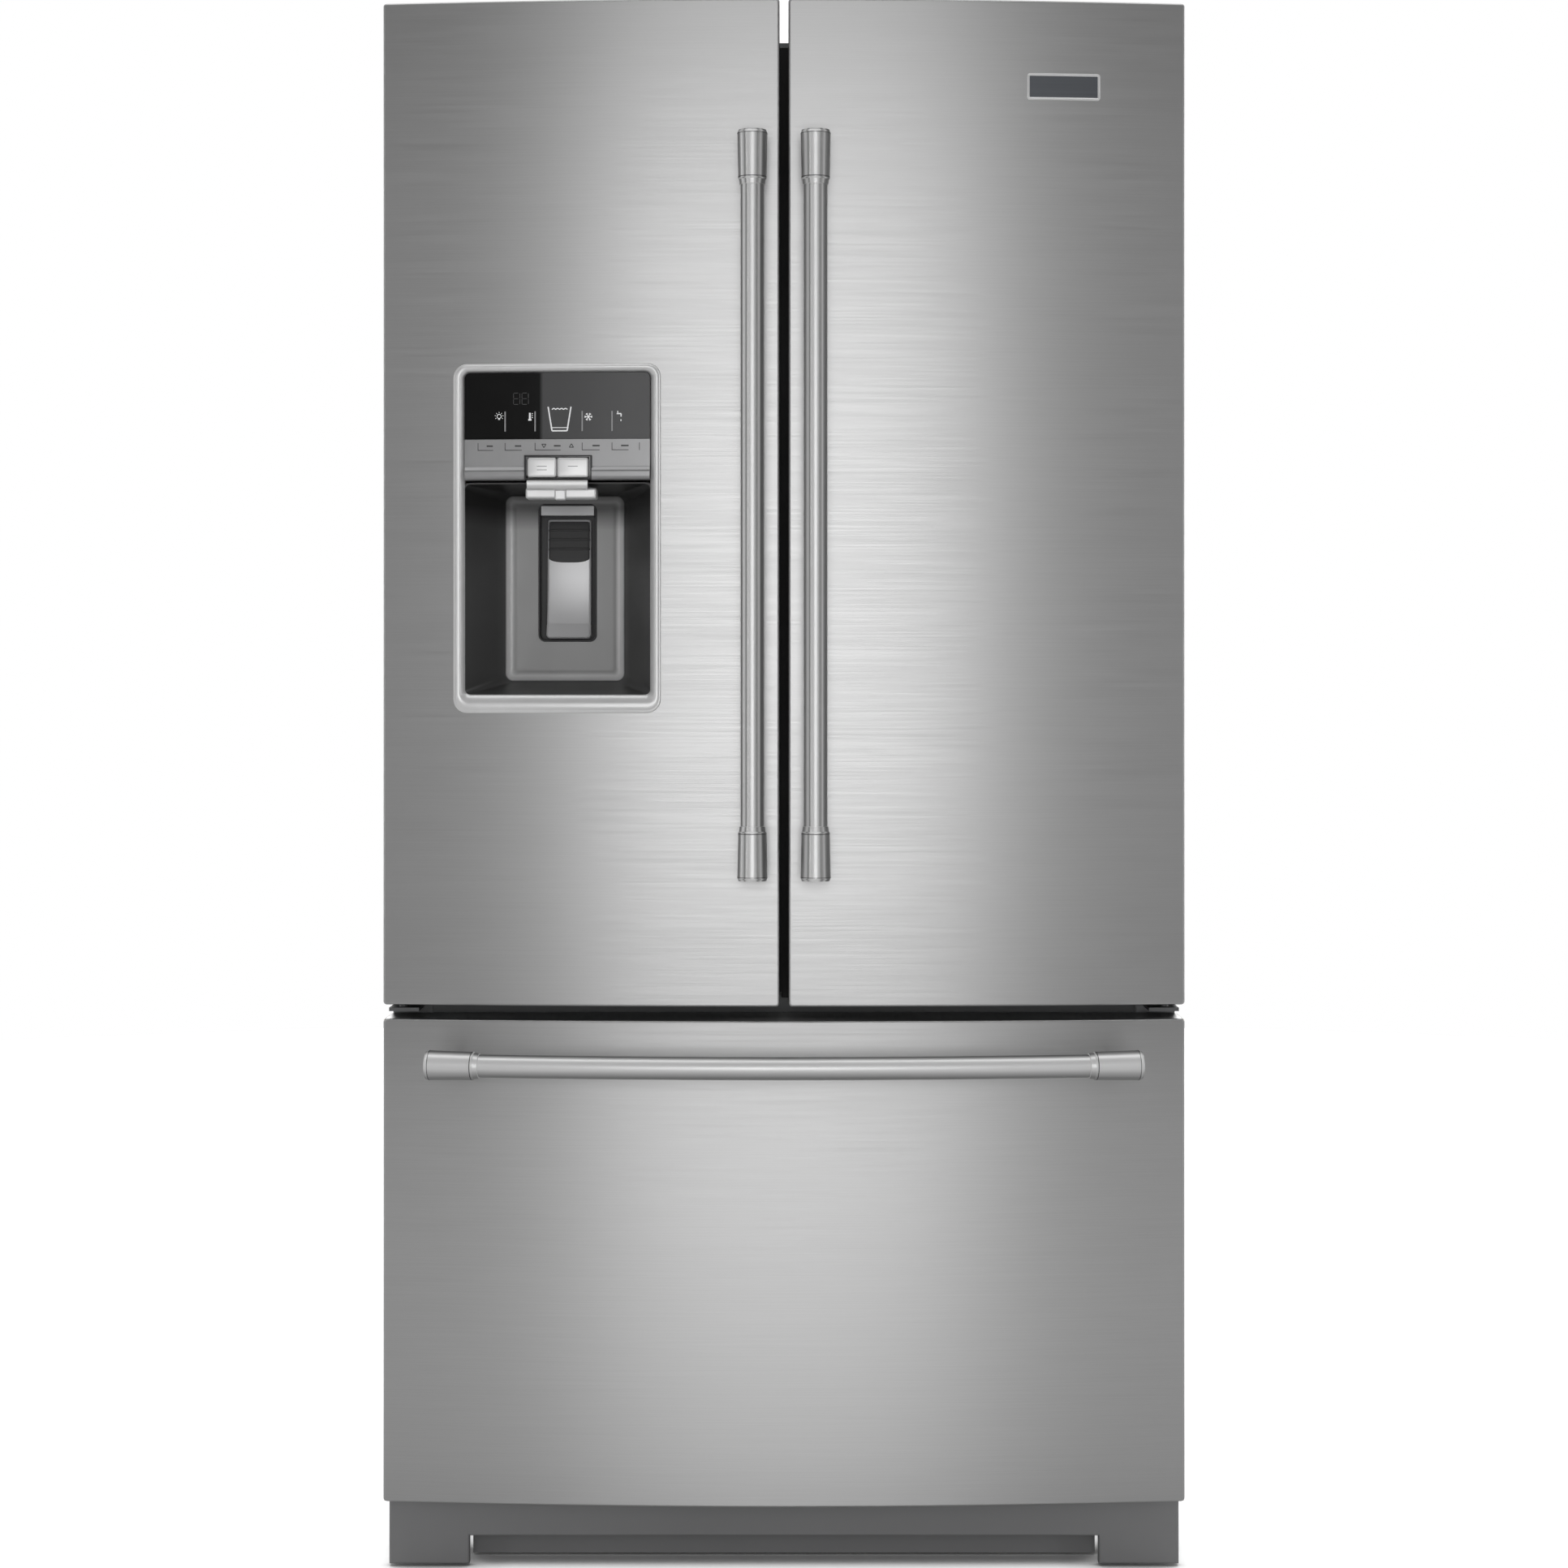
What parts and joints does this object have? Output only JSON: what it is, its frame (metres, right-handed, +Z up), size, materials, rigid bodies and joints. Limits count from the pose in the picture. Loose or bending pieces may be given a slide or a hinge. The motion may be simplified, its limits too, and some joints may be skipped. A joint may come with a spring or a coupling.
{
  "type": "french door refrigerator",
  "caption": "Bottom-freezer french door refrigerator with bowed stainless doors, a through-door water and ice dispenser, bar handles, shelves, bins and baskets.",
  "frame": {"origin": "on the floor, under the centre of the overall box", "axes": "+Z up, doors face -Y, +X to the right of a person facing the doors"},
  "size_m": [0.905, 0.9144, 1.781],
  "materials": {
    "stainless": "brushed",
    "handle_steel": "brushed",
    "bright_trim": "polished",
    "case_paint": "textured satin",
    "zinc_steel": "satin",
    "grille_plastic": "matte",
    "cap_plastic": "matte",
    "white_liner": "satin",
    "foam": "cellular",
    "gasket_rubber": "matte",
    "clear_plastic": "clear",
    "shelf_glass": "clear",
    "black_glass": "gloss",
    "dispenser_grey": "satin",
    "key_silver": "satin",
    "paddle_plastic": "satin",
    "black_rubber": "matte",
    "basket_white": "satin",
    "compressor_black": "gloss",
    "coil_metal": "satin",
    "badge_metal": "brushed",
    "fan_plastic": "matte",
    "back_steel": "galvanised"
  },
  "bodies": {
    "cabinet": {"cabinet_wrapper": "case_paint", "back_panel": "back_steel", "front_frame": "case_paint", "cabinet_foam": "foam", "fresh_food_liner": "white_liner", "freezer_liner": "white_liner", "shelf_frames": "white_liner", "shelf_glass": "shelf_glass", "shelf_ladders": "zinc_steel", "air_duct_cover": "white_liner", "ice_maker_housing": "white_liner", "freezer_slide_channel": "zinc_steel", "door_hinges": "zinc_steel", "hinge_covers": "cap_plastic", "base_frame": "zinc_steel", "base_grille": "grille_plastic", "leveling_feet": "black_rubber", "compressor": "compressor_black", "condenser": "coil_metal", "fan_motor": "compressor_black", "machine_cover": "back_steel", "power_inlet": "fan_plastic"},
    "door_left": {"door_left_skin": "stainless", "door_left_end_caps": "cap_plastic", "door_left_foam": "foam", "door_left_liner": "white_liner", "door_left_gasket": "gasket_rubber", "door_left_handle": "handle_steel", "door_left_bins": "clear_plastic", "dispenser_bezel": "bright_trim", "dispenser_housing": "dispenser_grey", "dispenser_display": "black_glass", "dispenser_fascia": "dispenser_grey", "dispenser_spout": "dispenser_grey"},
    "door_right": {"door_right_skin": "stainless", "door_right_end_caps": "cap_plastic", "door_right_foam": "foam", "door_right_liner": "white_liner", "door_right_gasket": "gasket_rubber", "door_right_handle": "handle_steel", "door_right_bins": "clear_plastic", "badge_plate": "badge_metal"},
    "freezer_drawer": {"freezer_front_skin": "stainless", "freezer_front_foam": "foam", "freezer_front_liner": "white_liner", "freezer_gasket": "gasket_rubber", "freezer_handle": "handle_steel", "freezer_slide_inner": "zinc_steel", "freezer_lower_basket": "basket_white"},
    "slide_middle": {"freezer_slide_middle": "zinc_steel"},
    "upper_basket": {"freezer_upper_basket": "basket_white"},
    "mullion": {"flip_mullion": "cap_plastic"},
    "paddle": {"dispenser_paddle": "paddle_plastic"},
    "key_ice": {"key_ice": "key_silver"},
    "key_water": {"key_water": "key_silver"},
    "crisper_left": {"crisper_left": "clear_plastic"},
    "crisper_right": {"crisper_right": "clear_plastic"},
    "dairy_lid": {"dairy_lid": "clear_plastic"},
    "condenser_fan": {"condenser_fan": "fan_plastic"},
    "rollers": {"rollers": "black_rubber"}
  },
  "joints": [
    {"name": "door_left_swing", "type": "hinge", "parent": "cabinet", "child": "door_left", "pos_m": [-0.434, -0.31775, 1.2], "axis": [0, 0, -1], "range_deg": [0, 120]},
    {"name": "door_right_swing", "type": "hinge", "parent": "cabinet", "child": "door_right", "pos_m": [0.434, -0.31775, 1.2], "axis": [0, 0, 1], "range_deg": [0, 120]},
    {"name": "drawer_freezer_slide", "type": "slide", "parent": "cabinet", "child": "freezer_drawer", "axis": [0, -1, 0], "range_m": [0, 0.4]},
    {"name": "mullion_fold", "type": "hinge", "parent": "door_left", "child": "mullion", "pos_m": [-0.038, -0.267, 1.2], "axis": [0, 0, 1], "range_deg": [0, 91]},
    {"name": "slide_middle_extend", "type": "slide", "parent": "cabinet", "child": "slide_middle", "axis": [0, -1, 0], "range_m": [0, 0.21]},
    {"name": "upper_basket_slide", "type": "slide", "parent": "cabinet", "child": "upper_basket", "axis": [0, -1, 0], "range_m": [0, 0.25]},
    {"name": "crisper_left_slide", "type": "slide", "parent": "cabinet", "child": "crisper_left", "axis": [0, -1, 0], "range_m": [0, 0.19]},
    {"name": "crisper_right_slide", "type": "slide", "parent": "cabinet", "child": "crisper_right", "axis": [0, -1, 0], "range_m": [0, 0.19]},
    {"name": "dispenser_paddle_push", "type": "hinge", "parent": "door_left", "child": "paddle", "pos_m": [-0.2485, -0.262, 1.203], "axis": [1, 0, 0], "range_deg": [0, 6], "stiffness_Nm_per_rad": 2, "springref_deg": -5.73},
    {"name": "key_ice_push", "type": "slide", "parent": "door_left", "child": "key_ice", "axis": [0, 1, 0], "range_m": [0, 0.003], "stiffness_N_per_m": 400, "springref_m": -0.001},
    {"name": "key_water_push", "type": "slide", "parent": "door_left", "child": "key_water", "axis": [0, 1, 0], "range_m": [0, 0.003], "stiffness_N_per_m": 400, "springref_m": -0.001},
    {"name": "dairy_lid_flip", "type": "hinge", "parent": "door_right", "child": "dairy_lid", "pos_m": [0.223, -0.286, 1.545], "axis": [1, 0, 0], "range_deg": [0, 80]},
    {"name": "fan_condenser_spin", "type": "hinge", "parent": "cabinet", "child": "condenser_fan", "pos_m": [0, 0.345, 0.15], "axis": [1, 0, 0], "continuous": true},
    {"name": "rollers_spin", "type": "hinge", "parent": "cabinet", "child": "rollers", "pos_m": [0, 0.36, 0.021], "axis": [1, 0, 0], "continuous": true}
  ],
  "couplings": [
    {"joint": "mullion_fold", "follows": "door_left_swing", "ratio": 0.75},
    {"joint": "crisper_left_slide", "follows": "door_left_swing", "m_per_rad": 0.0859},
    {"joint": "crisper_right_slide", "follows": "door_right_swing", "m_per_rad": 0.0859},
    {"joint": "slide_middle_extend", "follows": "drawer_freezer_slide", "ratio": 0.5},
    {"joint": "upper_basket_slide", "follows": "drawer_freezer_slide", "ratio": 0.6}
  ]
}
